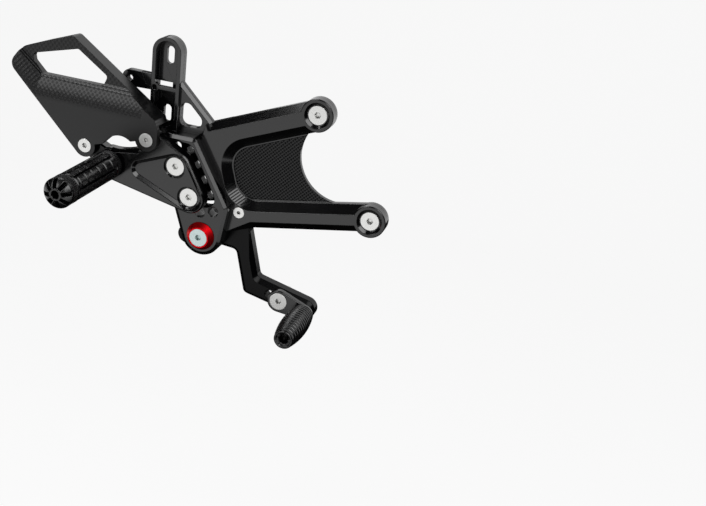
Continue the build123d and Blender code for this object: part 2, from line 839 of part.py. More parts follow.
with BuildPart() as heel_guard:
    with BuildSketch(level(guard_back)) as guard_outline:
        with BuildLine():
            Polyline(
                guard_corner_rear,
                guard_top_rear,
                guard_top_front,
                guard_low_front,
                (guard_screw_front[0] + guard_lobe_r, guard_screw_front[1] + guard_lobe_r),
                (guard_screw_front[0] + guard_lobe_r, guard_screw_front[1]),
                guard_screw_front,
                guard_screw_rear,
                rear_edge_foot,
                close=True,
            )
        make_face()
        corners = guard_outline.vertices().sort_by(Axis.X)
        fillet(corners[:2], guard_corner_r)
        top_corners = guard_outline.vertices().sort_by_distance((*guard_top_front, 0))
        fillet(top_corners[0], guard_top_r)
        with BuildSketch(mode=Mode.SUBTRACT) as arch:
            with BuildLine():
                Polyline(
                    along(guard_arch_peak, guard_arch_rear_angle, -guard_arch_leg, 0),
                    guard_arch_peak,
                    along(guard_arch_peak, guard_arch_front_angle, guard_arch_leg, 0),
                    close=True,
                )
            make_face()
            fillet(arch.vertices().sort_by_distance((*guard_arch_peak, 0))[0], guard_arch_r)
        with Locations(guard_screw_rear, guard_screw_front):
            Circle(guard_lobe_r)
    extrude(amount=guard_depth)
    # Hollow back: open below, walled above, deeper behind the field
    with BuildSketch(level(guard_back)):
        with Locations((guard_arch_peak[0], guard_open_below - guard_depth * 2)):
            Rectangle(guard_depth * 12, guard_depth * 4)
    extrude(amount=guard_depth - guard_skin, mode=Mode.SUBTRACT)
    with BuildSketch(level(guard_back)):
        with BuildLine():
            Polyline(*guard_inside, close=True)
        make_face()
    extrude(amount=tray_out - guard_skin - guard_back, mode=Mode.SUBTRACT)
    with BuildSketch(level(tray_out - guard_skin)):
        with BuildLine():
            Polyline(*field_inside, close=True)
        make_face()
    extrude(amount=guard_out - guard_slope_drop - tray_out, mode=Mode.SUBTRACT)
    # Tail thins towards the rear corner
    with BuildSketch(Plane.XY):
        with BuildLine():
            Polyline(
                (guard_tail_start, -guard_back),
                (guard_corner_rear[0] - guard_corner_r, -guard_back),
                (guard_corner_rear[0] - guard_corner_r, -guard_out + guard_tail_t),
                (guard_corner_rear[0], -guard_out + guard_tail_t),
                close=True,
            )
        make_face()
    extrude(amount=guard_top_front[1], mode=Mode.SUBTRACT)
    # Slope that rolls down to the crease, then two sloping steps down to the frame, and its window
    add(slope_cut.part, mode=Mode.SUBTRACT)
    for low_out, high_out, left in frame_tiers:
        for at, shift in ((low_out, 0), (high_out, high_out - low_out)):
            with BuildSketch(level(at)):
                with BuildLine():
                    Polyline(*above_crease(left - shift), close=True)
                make_face()
        loft(ruled=True, mode=Mode.SUBTRACT)
    with BuildSketch(level(guard_back)) as window:
        with BuildLine():
            Polyline(*guard_window, close=True)
        make_face()
        fillet(window.vertices(), guard_window_r)
    extrude(amount=guard_depth, mode=Mode.SUBTRACT)
    with Locations(*[spot(point, guard_out) for point in (guard_screw_rear, guard_screw_front)]):
        CounterSinkHole(m6[0] + bolt_clearance, m6[1] + thread_play, guard_out, 90)
finish(heel_guard, "heel_guard")

guard_screw_length = guard_skin + holder_t
for label, point in (("guard_screw_rear", guard_screw_rear), ("guard_screw_front", guard_screw_front)):
    countersunk_screw(label, point, guard_out, guard_screw_length, m6)

# Pivot: red collar, bolt, sleeve with two bearings, washer and nut behind the lobe
bearing_in = shim_t
sleeve_l = 2 * bearing_w + bearing_gap
nut_in = bearing_in + sleeve_l + washer_t
collar_out = pad_out + collar_h
with BuildPart() as pivot_collar:
    with BuildSketch(half_section(pivot)):
        with BuildLine():
            Polyline(
                (0, -pad_out),
                (collar_r, -pad_out),
                (collar_r, -pad_out - edge_break),
                (collar_top_r, -collar_out),
                (0, -collar_out),
                close=True,
            )
        make_face()
    revolve(axis=axis_at(pivot))
    with Locations(spot(pivot, collar_out)):
        CounterSinkHole(m8[0] + bolt_clearance, m8[1] + thread_play, collar_h, 90)
finish(pivot_collar, "pivot_collar")

countersunk_screw("pivot_bolt", pivot, collar_out, collar_out + nut_in + nut_h + 2 * edge_break, m8)


def pivot_ring(label, near, width, inner_r, outer_r):
    """Plain ring round the pivot, from near to near + width behind the inner face."""
    with BuildPart() as ring:
        with BuildSketch(level(-near)):
            with Locations(pivot):
                Circle(outer_r)
                Circle(inner_r, mode=Mode.SUBTRACT)
        extrude(amount=-width)
    finish(ring, label)


bolt_way_r = m8[0] + bolt_clearance
race_in_r = sleeve_r + race_t
race_out_r = bearing_r - race_t
ball_centre_r = (sleeve_r + bearing_r) / 2
second_in = bearing_in + bearing_w + bearing_gap
pivot_ring("pivot_shim", 0, shim_t, bolt_way_r, race_in_r)
pivot_ring("pivot_sleeve", bearing_in, sleeve_l, bolt_way_r, sleeve_r)
pivot_ring("bearing_spacer", bearing_in + bearing_w, bearing_gap, sleeve_r, race_in_r)
pivot_ring("pivot_washer", bearing_in + sleeve_l, washer_t, bolt_way_r, washer_r)


def race(label, near, inner_r, outer_r):
    """Bearing race with the balls' groove turned into it."""
    middle = near + bearing_w / 2
    with BuildPart() as ring:
        with BuildSketch(level(-near)):
            with Locations(pivot):
                Circle(outer_r)
                Circle(inner_r, mode=Mode.SUBTRACT)
        extrude(amount=-bearing_w)
        with BuildSketch(half_section(pivot)):
            with Locations((ball_centre_r, middle)):
                Circle(ball_r + ball_play)
        revolve(axis=axis_at(pivot), mode=Mode.SUBTRACT)
    finish(ring, label)


def caged_balls(label, near):
    """Ring of balls held by a thin cage."""
    middle = near + bearing_w / 2
    with BuildPart() as cage:
        with BuildSketch(level(-middle + cage_w / 2)):
            with Locations(pivot):
                Circle(ball_centre_r + cage_t / 2)
                Circle(ball_centre_r - cage_t / 2, mode=Mode.SUBTRACT)
        extrude(amount=-cage_w)
        with Locations(spot(pivot, -middle)):
            with PolarLocations(ball_centre_r, ball_count):
                Sphere(ball_r)
    finish(cage, label)


for name, near in (("bearing_a", bearing_in), ("bearing_b", second_in)):
    race(f"{name}_inner_race", near, sleeve_r, race_in_r)
    race(f"{name}_outer_race", near, race_out_r, bearing_r)
    caged_balls(f"{name}_balls", near)


def hex_nut(label, point, near):
    """Nut with chamfered corners, seated at near behind the inner face."""
    with BuildPart() as nut:
        with BuildSketch(level(-near)):
            with Locations(point):
                RegularPolygon(radius=nut_af / 2, side_count=6, major_radius=False)
                Circle(m8[0] + thread_play, mode=Mode.SUBTRACT)
        extrude(amount=-nut_h)
        chamfer(nut.faces().sort_by(Axis.Y)[-1].outer_wire().edges(), edge_break)
    finish(nut, label)


hex_nut("pivot_nut", pivot, nut_in)

# Brake lever: hub, push-rod lug, stem and slotted toe section behind the plate
stop_ledge = stop_point[1] - stop_r - stop_gap
lever_end = along(toe_axis, lever_toe_angle, -lever_end_back, 0)
toe_front = along(lever_end, lever_toe_angle, 0, lever_end_r)
toe_rear_low = along(toe_axis, lever_toe_angle, -toe_section_l, -lever_end_r - lever_heel_drop)
stem_angle = angle_of(lever_stem_top, lever_stem_foot)
stem_corner = crossing(lever_stem_top, stem_angle, toe_front, lever_toe_angle)
stem_back_top = along(lever_stem_top, stem_angle, 0, -lever_stem_w)
stem_back_foot = crossing(stem_back_top, stem_angle, toe_rear_low, lever_toe_angle)
clamp_point = along(toe_axis, lever_toe_angle, -carrier_screw_x, 0)
with BuildPart() as brake_lever:
    with BuildSketch(level(-lever_gap)) as lever_outline:
        with BuildLine():
            Polyline(
                (pivot[0], pivot[1] + hub_r),
                (stop_point[0] - stop_r, stop_ledge),
                (stop_point[0] + stop_r, stop_ledge),
                lever_stem_top,
                stem_corner,
                toe_front,
                along(lever_end, lever_toe_angle, 0, -lever_end_r),
                stem_back_foot,
                along(stem_back_top, stem_angle, lever_stem_w, 0),
                (pivot[0], pivot[1] - hub_r),
                close=True,
            )
        make_face()
        bends = [stem_corner, stem_back_foot, along(stem_back_top, stem_angle, lever_stem_w, 0)]
        for bend in bends:
            near_bend = lever_outline.vertices().sort_by_distance((bend[0], bend[1], 0))[0]
            fillet(near_bend, lever_bend_r)
        with Locations(lever_end):
            Circle(lever_end_r)
        with Locations(pivot):
            Circle(hub_r)
    extrude(amount=-lever_t)
    with BuildSketch(level(-lever_gap)):
        with Locations(lever_pushrod):
            Circle(pushrod_lug_r)
        with Locations(pivot):
            Circle(pushrod_lug_r)
        make_hull()
    extrude(amount=-lever_t)
    # Bevel down the front of the stem
    stem_middle = along(lever_stem_top, stem_angle, distance(lever_stem_top, stem_corner) / 2, 0)
    front_edges = brake_lever.faces().sort_by(Axis.Y)[0].outer_wire().edges()
    chamfer(front_edges.sort_by_distance((stem_middle[0], lever_gap, stem_middle[1]))[0], lever_bevel)
    with BuildSketch(level(-lever_gap)):
        with Locations(pivot):
            Circle(hub_r)
    extrude(amount=-(bearing_in + sleeve_l - lever_gap))
    # Bearing seats with a shoulder between them
    with BuildSketch(level(-lever_gap)):
        with Locations(pivot):
            Circle(bearing_r)
    extrude(amount=-(bearing_in + bearing_w - lever_gap), mode=Mode.SUBTRACT)
    with BuildSketch(level(-second_in)):
        with Locations(pivot):
            Circle(bearing_r)
    extrude(amount=-bearing_w, mode=Mode.SUBTRACT)
    with BuildSketch(level(-lever_gap)):
        with Locations(pivot):
            Circle(race_out_r)
    extrude(amount=-2 * lever_t, mode=Mode.SUBTRACT)
    with BuildSketch(level(-lever_gap)):
        with Locations(lever_pushrod):
            Circle(pushrod_hole_r)
        with Locations(clamp_point):
            SlotOverall(lever_slot_l, lever_slot_w, rotation=lever_toe_angle)
    extrude(amount=-2 * lever_t, mode=Mode.SUBTRACT)
    # Index marks along the slot
    mark_start = -(index_count - 1) / 2 * index_pitch
    mark_spots = [
        along(clamp_point, lever_toe_angle, mark_start + i * index_pitch, lever_end_r)
        for i in range(index_count)
    ]
    with BuildSketch(level(-lever_gap)):
        with Locations(*mark_spots):
            Rectangle(index_w, index_l, rotation=lever_toe_angle)
    extrude(amount=-index_depth, mode=Mode.SUBTRACT)
finish(brake_lever, "brake_lever")

# Stop that the lever rests against
with BuildPart() as lever_stop:
    with BuildSketch(level(0)):
        with Locations(stop_point):
            Circle(stop_r)
            Circle(m5[0] + thread_play, mode=Mode.SUBTRACT)
    extrude(amount=-stop_h)
finish(lever_stop, "lever_stop")
countersunk_screw("stop_screw", stop_point, plate_t, plate_t + stop_h - edge_break, m5)

# Toe peg carrier, clamped through the lever's slot
carrier_in = lever_gap - carrier_play
carrier_out = carrier_t - carrier_in
with BuildPart() as toe_peg_carrier:
    with BuildSketch(level(-carrier_in)):
        with Locations(clamp_point):
            Circle(carrier_r)
        with Locations(toe_axis):
            Circle(carrier_end_r)
        make_hull()
    extrude(amount=carrier_t)
    chamfer(toe_peg_carrier.faces().sort_by(Axis.Y)[0].outer_wire().edges(), edge_break)
    with Locations(spot(clamp_point, carrier_out)):
        CounterSinkHole(m8[0] + bolt_clearance, m8[1] + thread_play, carrier_t, 90)
    with Locations(spot(toe_axis, carrier_out)):
        Hole(m5[0] + thread_play, carrier_t)
finish(toe_peg_carrier, "toe_peg_carrier")

carrier_nut_in = lever_gap + lever_t + carrier_play
carrier_screw_length = carrier_out + carrier_nut_in + nut_h + edge_break
countersunk_screw("carrier_screw", clamp_point, carrier_out, carrier_screw_length, m8)
hex_nut("carrier_nut", clamp_point, carrier_nut_in)

# Toe peg: barrel with ring grooves, slotted end and a sunk screw
toe_out = carrier_out + toe_peg_length
toe_groove_start = (toe_peg_length - (toe_groove_count - 1) * toe_groove_pitch) / 2
toe_bulge = toe_peg_r - (toe_peg_root_r + toe_peg_end_r) / 2


def barrel_r(reach):
    """Radius of the toe peg at a distance from the carrier: widest in the middle."""
    part = reach / toe_peg_length
    return toe_peg_root_r + (toe_peg_end_r - toe_peg_root_r) * part + 4 * toe_bulge * part * (1 - part)


toe_profile = [(0, -carrier_out), (toe_peg_root_r, -carrier_out)]
for groove in range(toe_groove_count):
    near = toe_groove_start + groove * toe_groove_pitch - toe_groove_w / 2
    for reach, depth in ((near, 0), (near, toe_groove_depth)):
        toe_profile.append((barrel_r(reach) - depth, -carrier_out - reach))
    for reach, depth in ((near + toe_groove_w, toe_groove_depth), (near + toe_groove_w, 0)):
        toe_profile.append((barrel_r(reach) - depth, -carrier_out - reach))
toe_profile += [(toe_peg_end_r, -toe_out), (0, -toe_out)]
with BuildPart() as toe_peg:
    with BuildSketch(half_section(toe_axis)):
        with BuildLine():
            Polyline(*toe_profile, close=True)
        make_face()
    revolve(axis=axis_at(toe_axis))
    with BuildSketch(spot(toe_axis, toe_out)):
        Circle(toe_bore_r)
    extrude(amount=-toe_bore_depth, mode=Mode.SUBTRACT)
    with BuildSketch(spot(toe_axis, toe_out)):
        with PolarLocations((toe_peg_end_r + toe_bore_r) / 2, toe_slots):
            Rectangle(2 * (toe_peg_end_r - toe_bore_r), toe_slot_w)
    extrude(amount=-toe_slot_depth, mode=Mode.SUBTRACT)
    with Locations(spot(toe_axis, toe_out - toe_bore_depth)):
        CounterSinkHole(m5[0] + bolt_clearance, m5[1] + thread_play, toe_peg_length, 90)
finish(toe_peg, "toe_peg")
toe_screw_out = toe_out - toe_bore_depth
countersunk_screw("toe_peg_screw", toe_axis, toe_screw_out, toe_screw_out + carrier_in, m5)
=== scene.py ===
# %% [markdown]
# # A motorcycle rear set, dressed for its picture
# A rear set carries the rider's foot: a black bracket bolted to the frame, a foot peg, a heel guard
# and the brake lever. Its solids come ready from CAD, so this lesson adds what the eye reads next:
# anodised metal, milled patterns, bright screws, the knurled pegs, and a plain white studio.

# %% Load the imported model
import json
import math

import bpy
import numpy as np
from mathutils import Matrix


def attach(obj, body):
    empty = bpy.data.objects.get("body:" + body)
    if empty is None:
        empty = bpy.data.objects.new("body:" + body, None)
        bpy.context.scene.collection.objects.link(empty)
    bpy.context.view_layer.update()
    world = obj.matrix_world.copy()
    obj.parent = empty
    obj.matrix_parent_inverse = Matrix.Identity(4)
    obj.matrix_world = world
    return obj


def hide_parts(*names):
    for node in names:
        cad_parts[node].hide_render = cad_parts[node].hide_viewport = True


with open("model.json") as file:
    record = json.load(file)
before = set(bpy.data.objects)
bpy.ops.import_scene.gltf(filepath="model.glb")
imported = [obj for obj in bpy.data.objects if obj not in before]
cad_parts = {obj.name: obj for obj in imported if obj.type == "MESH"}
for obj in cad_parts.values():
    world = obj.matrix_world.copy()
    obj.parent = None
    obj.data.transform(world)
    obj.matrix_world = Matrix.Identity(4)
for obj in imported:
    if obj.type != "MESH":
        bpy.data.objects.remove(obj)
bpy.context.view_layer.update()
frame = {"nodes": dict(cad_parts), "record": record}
nodes = frame["nodes"]
MM = 0.001

# %% [markdown]
# ## The camera
# The picture is taken from the front right, a little above, with the camera rolled a few degrees.
# A camera could be aimed with a constraint, but its place and three angles are known here, so the
# viewing axes are worked out as plain vectors and written into one matrix.

# %% Camera from its place and angles
CAMERA_PLACE = (0.1650, -0.8029, 0.3125)
CAMERA_TURN, CAMERA_TILT, CAMERA_ROLL = (math.radians(a) for a in (12.48, 22.93, 7.70))
SENSOR_MM, LENS_MM, NEAREST = 36.0, 53.09, 0.01


def axes_matrix(right, up, back, place):
    """Matrix of an object at a place, whose own x, y and z point right, up and back."""
    matrix = np.eye(4)
    matrix[:3] = np.column_stack([right, up, back, place])
    return Matrix(matrix.tolist())


def viewing_matrix(place, turn, tilt, roll):
    """Camera axes from angles: turn about the upright, tilt down, then roll about the line of sight."""
    level = np.array([math.cos(turn), math.sin(turn), 0.0])
    rise = np.array([-math.sin(turn) * math.sin(tilt), math.cos(turn) * math.sin(tilt), math.cos(tilt)])
    right = math.cos(roll) * level + math.sin(roll) * rise
    up = -math.sin(roll) * level + math.cos(roll) * rise
    return axes_matrix(right, up, np.cross(right, up), place)


camera_data = bpy.data.cameras.new("studio_camera")
camera_data.sensor_width = SENSOR_MM
camera_data.sensor_fit = "HORIZONTAL"
camera_data.lens = LENS_MM
camera_data.clip_start = NEAREST
camera = bpy.data.objects.new("studio_camera", camera_data)
bpy.context.scene.collection.objects.link(camera)
camera.matrix_world = viewing_matrix(CAMERA_PLACE, CAMERA_TURN, CAMERA_TILT, CAMERA_ROLL)
bpy.context.scene.camera = camera
bpy.context.scene.view_settings.view_transform = "Standard"
print("camera at", CAMERA_PLACE, "lens", camera_data.lens)

# %% [markdown]
# ## Helpers for finishes
# Colours are written as the hex values that a paint chart would give, so one function turns them into
# the linear light that Blender mixes. One other function adds a node, sets it and links it, which
# keeps each finish short enough to read as a recipe.

# %% Colour and node helpers
MULTIPLY, MULTIPLY_ADD = {"operation": "MULTIPLY"}, {"operation": "MULTIPLY_ADD"}
MAXIMUM, SUM, DOT = {"operation": "MAXIMUM"}, {"operation": "ADD"}, {"operation": "DOT_PRODUCT"}
PAPER_WHITE = "#F7F7F7"


def linear(code):
    """sRGB hex to linear RGBA: values over 0.04045 follow the 2.4 power, smaller ones a straight line."""
    srgb = np.array([int(code[i : i + 2], 16) for i in (1, 3, 5)]) / 255
    light = np.where(srgb <= 0.04045, srgb / 12.92, ((srgb + 0.055) / 1.055) ** 2.4)
    return (*light.tolist(), 1.0)


def add(tree, kind, settings=None, **inputs):
    """Adds one node: settings are its properties; inputs are values, sockets or nodes (first output)."""
    node = tree.nodes.new(kind)
    for name, value in (settings or {}).items():
        setattr(node, name, value)
    for name, value in inputs.items():
        key = int(name[1:]) if name[1:].isdigit() else name.replace("_", " ")
        if isinstance(value, bpy.types.Node):
            value = value.outputs[0]
        if isinstance(value, bpy.types.NodeSocket):
            tree.links.new(value, node.inputs[key])
        else:
            node.inputs[key].default_value = value
    return node


print("white is", [round(v, 3) for v in linear(PAPER_WHITE)])

# %% [markdown]
# ## The studio
# The object floats in front of an even, nearly white sweep of paper. A floor and a wall could be two
# planes, but their joint would show in the metal, so one profile (floor, quarter circle, wall) is
# carried sideways. Camera, glossy and see-through rays read the paper's own white; the lamps' light is
# added to it, so that the floor keeps a soft shadow.

# %% White paper sweep
FLOOR_Z = -0.34
SWEEP_BACK, SWEEP_FRONT, SWEEP_SIDE, SWEEP_R, SWEEP_TOP = 1.5, -3.0, 3.2, 0.7, 2.2


def mesh_from_grid(name, grid, turned=False):
    """Smooth quads over a grid of points (u, v); a turned grid closes in u and has a cap at each end."""
    nu, nv = grid.shape[:2]
    index = np.arange(nu * nv).reshape(nu, nv)
    caps = []
    if turned:
        caps = [index[::-1, 0].tolist(), index[:, -1].tolist()]
        index = np.concatenate([index, index[:1]])
    quads = np.stack([index[:-1, :-1], index[1:, :-1], index[1:, 1:], index[:-1, 1:]], axis=-1)
    mesh = bpy.data.meshes.new(name)
    mesh.from_pydata(grid.reshape(-1, 3).tolist(), [], quads.reshape(-1, 4).tolist() + caps)
    mesh.polygons.foreach_set("use_smooth", np.ones(len(mesh.polygons), dtype=bool))
    mesh.update()
    return mesh


def paper_sweep():
    """Profile y, z: floor from the front, a quarter circle, then the wall; carried along x."""
    angle = np.linspace(-math.pi / 2, 0, 24)
    y = np.concatenate([[SWEEP_FRONT], SWEEP_BACK - SWEEP_R + SWEEP_R * np.cos(angle), [SWEEP_BACK]])
    z = np.concatenate([[FLOOR_Z], FLOOR_Z + SWEEP_R + SWEEP_R * np.sin(angle), [SWEEP_TOP]])
    x = np.linspace(-SWEEP_SIDE, SWEEP_SIDE, 9)
    xx, yy = np.meshgrid(x, y, indexing="ij")
    return np.stack([xx, yy, np.broadcast_to(z, xx.shape)], axis=-1)


sweep_mesh = mesh_from_grid("paper_sweep", paper_sweep())
sweep = bpy.data.objects.new("paper_sweep", sweep_mesh)
bpy.context.scene.collection.objects.link(sweep)
print("sweep faces:", len(sweep_mesh.polygons))

# %% Paper finish
PAPER_GLOW, PAPER_LIT = 0.97, "#5C5C5C"
paper = bpy.data.materials.new("white_paper")
paper.use_nodes = True
tree = paper.node_tree
tree.nodes.clear()
rays = add(tree, "ShaderNodeLightPath").outputs
seen = add(tree, "ShaderNodeMath", MAXIMUM, _0=rays["Is Camera Ray"], _1=rays["Is Glossy Ray"])
seen = add(tree, "ShaderNodeMath", MAXIMUM, _0=seen, _1=rays["Is Transmission Ray"])
paper_white = add(tree, "ShaderNodeEmission", Color=linear(PAPER_WHITE), Strength=PAPER_GLOW)
paper_lit = add(tree, "ShaderNodeBsdfDiffuse", Color=linear(PAPER_LIT))
paper_seen = add(tree, "ShaderNodeAddShader", _0=paper_white, _1=paper_lit)
paper_mix = add(tree, "ShaderNodeMixShader", _0=seen, _1=paper_lit, _2=paper_seen)
add(tree, "ShaderNodeOutputMaterial", Surface=paper_mix)
sweep_mesh.materials.append(paper)
print("paper:", len(tree.nodes), "nodes")

# %% [markdown]
# ## Light
# Black metal shows its shape by what it mirrors. Its upright faces mirror the pale floor in front, the
# guard's rolled slope mirrors a soft box in front and to the left, steps and bevels that face up mirror
# a strip overhead, a small bright card in front is for the raised pad's bevel, and a large box high on
# the right gives the plain level of light. Photographers keep other faces black with dark cards; three
# such cards, seen only in reflections, stand under the object, to its right, and low behind its left end.

# %% Soft boxes
GUARD, MIDDLE = (-0.22, -0.02, 0.06), (-0.14, 0.0, 0.0)
# Name, place, target, width and height in metres, power in watts
SOFT_BOXES = (
    ("slope_box", (-0.84, -1.08, 0.58), GUARD, 0.70, 0.70, 4.4),
    ("top_strip", (-0.63, -0.25, 1.12), GUARD, 0.34, 0.56, 3.0),
    ("key_box", (0.72, -1.05, 1.02), MIDDLE, 1.2, 1.2, 16.0),
    ("front_card", (0.36, -1.04, 0.13), MIDDLE, 0.20, 0.30, 0.42),
)


def soft_box(name, place, target, width, height, power):
    """Area lamp that looks from its place towards a target."""
    lamp = bpy.data.lights.new(name, "AREA")
    lamp.shape, lamp.size, lamp.size_y, lamp.energy = "RECTANGLE", width, height, power
    box = bpy.data.objects.new(name, lamp)
    bpy.context.scene.collection.objects.link(box)
    away = np.array(place) - np.array(target)
    away = away / np.linalg.norm(away)
    side = np.cross([0, 0, 1], away)
    side = side / np.linalg.norm(side)
    box.matrix_world = axes_matrix(side, np.cross(away, side), away, place)


for box in SOFT_BOXES:
    soft_box(*box)
print("lamps:", [box[0] for box in SOFT_BOXES])

# %% Room
ROOM_GREY, ROOM_LEVEL = "#8A8A8A", 0.05
world = bpy.data.worlds.new("dim_room")
bpy.context.scene.world = world
world.use_nodes = True
tree = world.node_tree
tree.nodes.clear()
dim = add(tree, "ShaderNodeBackground", Color=linear(ROOM_GREY), Strength=ROOM_LEVEL)
pale = add(tree, "ShaderNodeBackground", Color=linear(PAPER_WHITE), Strength=1.0)
# Seen straight on, the room is as pale as the paper; in the metal it stays dim
seen = add(tree, "ShaderNodeLightPath").outputs["Is Camera Ray"]
room = add(tree, "ShaderNodeMixShader", _0=seen, _1=dim, _2=pale)
add(tree, "ShaderNodeOutputWorld", Surface=room)
print("room:", world.name)

# %% Dark cards
CARD_BLACK, CARD_ROUGHNESS = "#0A0A0A", 0.9
# One corner and the two edges that start there, in metres
DARK_CARDS = {
    "card_under": ((-0.62, -0.33, -0.28), (1.62, 0, 0), (0, 1.21, 0)),
    "card_behind": ((-1.30, 0.80, -0.34), (0.86, 0, 0), (0, 0, 0.58)),
    "card_right": ((0.55, -0.75, -0.34), (0, 1.05, 0), (0, 0, 0.60)),
}
card_black = bpy.data.materials.new("black_card")
card_black.use_nodes = True
card_inputs = card_black.node_tree.nodes["Principled BSDF"].inputs
card_inputs["Base Color"].default_value = linear(CARD_BLACK)
card_inputs["Roughness"].default_value = CARD_ROUGHNESS
for name, (corner, side, rise) in DARK_CARDS.items():
    u, v = np.meshgrid([0.0, 1.0], [0.0, 1.0], indexing="ij")
    spread = np.array(corner) + u[..., None] * np.array(side) + v[..., None] * np.array(rise)
    card = bpy.data.objects.new(name, mesh_from_grid(name, spread))
    bpy.context.scene.collection.objects.link(card)
    card.data.materials.append(card_black)
    card.visible_camera = card.visible_diffuse = card.visible_shadow = False
print("cards:", list(DARK_CARDS))

# %% [markdown]
# ## Black anodised aluminium
# The bracket, holder, guard, lever and pegs are milled from aluminium, blasted and dyed black while
# the oxide skin grows. The skin is a clear, hard layer over dark dye, so it is a dark base with a plain
# reflection on top rather than a mirror. A bevel in the shading catches light along each milled edge.

# %% Anodised finish
BLACK_DYE = "#050506"
# Aluminium oxide bends light more than paint does, with an index near 1.65
OXIDE_INDEX = 1.65
# The blasted grain is finer than this; it is drawn at 0.5 mm so that it shows
GRAIN, GRAIN_STRENGTH, GRAIN_DEPTH = 0.5 * MM, 0.02, 0.05 * MM
CLOUD, CLOUD_SPREAD = 22 * MM, 0.03
# The edge bevel's radius and the reach of the painted shade in holes and corners; below, how far that shade
# turns the reflection down
EDGE_R, SHADE_REACH = 0.8 * MM, 9.0 * MM
SHADE_SHINE = {"From_Min": 0.35, "From_Max": 0.75, "To_Min": 0.04, "To_Max": 0.5}
DULL_ROUGHNESS = 0.25


def anodised(name, gloss, index, relief=None):
    """Dark dyed oxide: deep colour, satin reflection, blasted grain; a relief adds a milled pattern."""
    material = bpy.data.materials.new(name)
    material.use_nodes = True
    tree = material.node_tree
    tree.nodes.clear()
    place = add(tree, "ShaderNodeTexCoord").outputs["Object"]
    grain = add(tree, "ShaderNodeTexNoise", Vector=place, Scale=1 / GRAIN, Detail=2.0).outputs["Fac"]
    cloud = add(tree, "ShaderNodeTexNoise", Vector=place, Scale=1 / CLOUD, Detail=3.0).outputs["Fac"]
    low, high = gloss - CLOUD_SPREAD, gloss + CLOUD_SPREAD
    satin = add(tree, "ShaderNodeMapRange", Value=cloud, To_Min=low, To_Max=high)
    # Painted shade: where the occlusion finds holes and corners, the reflection is turned down so that they
    # go dark
    crevice_shade_ao = add(tree, "ShaderNodeAmbientOcclusion", {"samples": 8}, Distance=SHADE_REACH)
    shine = add(tree, "ShaderNodeMapRange", Value=crevice_shade_ao.outputs["AO"], **SHADE_SHINE)
    edge = add(tree, "ShaderNodeBevel", {"samples": 8}, Radius=EDGE_R)
    grain_bump = {"Strength": GRAIN_STRENGTH, "Distance": GRAIN_DEPTH}
    normal = add(tree, "ShaderNodeBump", Height=grain, Normal=edge, **grain_bump)
    if relief is not None:
        height, depth, dull = relief(tree, place)
        satin = add(tree, "ShaderNodeMath", MULTIPLY_ADD, _0=dull, _1=DULL_ROUGHNESS, _2=satin)
        polish = add(tree, "ShaderNodeMath", MULTIPLY_ADD, _0=dull, _1=-1.0, _2=1.0)
        shine = add(tree, "ShaderNodeMath", MULTIPLY, _0=shine, _1=polish)
        normal = add(tree, "ShaderNodeBump", Strength=1.0, Distance=depth, Height=height, Normal=normal)
    look = {"Base_Color": linear(BLACK_DYE), "IOR": index, "Roughness": satin, "Specular_IOR_Level": shine}
    skin = add(tree, "ShaderNodeBsdfPrincipled", Normal=normal, **look)
    add(tree, "ShaderNodeOutputMaterial", Surface=skin)
    return material


black_anodised = anodised("black_anodised_aluminium", 0.15, OXIDE_INDEX)
print("anodised:", black_anodised.name)

# %% [markdown]
# ## Milled patterns
# A ball-nosed cutter leaves crossing paths on the thin web between the arms, checks on the guard's rolled
# slope and on the frame round its window, and steps on one bevel. The position holes are threaded. Each
# path or thread could be modelled, but it is a few tenths of a millimetre deep at most, so waves are
# crossed in the shading and kept to the depth and the place at which that floor, slope or hole lies.
# What the cutter left rough is also duller, and that shows where the depth alone is too fine to see.

# %% Cutter paths, threads and steps on the plate
WEB_FLOOR = (-5.3 * MM, -4.7 * MM)
PATH_PITCH, PATH_DEPTH, PATH_LEVEL = 2.3 * MM, 0.12 * MM, 0.4
PATH_DULL, GAP_DULL = 0.35, 0.45
THREAD_PITCH, THREAD_LIMITS = 1.25 * MM, (-9.9 * MM, 1 * MM)
ROW_ACROSS = (0.874, 0, 0.486)
ROW_PLACE = ROW_ACROSS[0] * -162.4 * MM + ROW_ACROSS[2] * 30.7 * MM
ROW_LIMITS = (ROW_PLACE - 17 * MM, ROW_PLACE + 6 * MM)
# The steps are drawn 2.4 mm apart, coarser than they are, so that they show
STEP_ALONG, STEP_PITCH, STEP_DULL = (0.67, 0, -0.74), 2.4 * MM, 0.75
CORNER_X, CORNER_Y, CORNER_Z = (-128 * MM, -106 * MM), (-11.8 * MM, -6.3 * MM), (-10 * MM, 7 * MM)
# Beyond any sine or product of sines, for limits that are open on one side
OPEN = 2


def between(tree, value, low, high):
    """1 where a value lies between two limits, else 0."""
    above = add(tree, "ShaderNodeMath", {"operation": "GREATER_THAN"}, _0=value, _1=low)
    below = add(tree, "ShaderNodeMath", {"operation": "LESS_THAN"}, _0=value, _1=high)
    return add(tree, "ShaderNodeMath", MULTIPLY, _0=above, _1=below)


def wave(tree, place, direction, pitch):
    """Sine of the distance along a direction, with one period per pitch."""
    reach = add(tree, "ShaderNodeVectorMath", DOT, _0=place, _1=direction).outputs["Value"]
    phase = add(tree, "ShaderNodeMath", MULTIPLY, _0=reach, _1=2 * math.pi / pitch)
    return add(tree, "ShaderNodeMath", {"operation": "SINE"}, _0=phase)


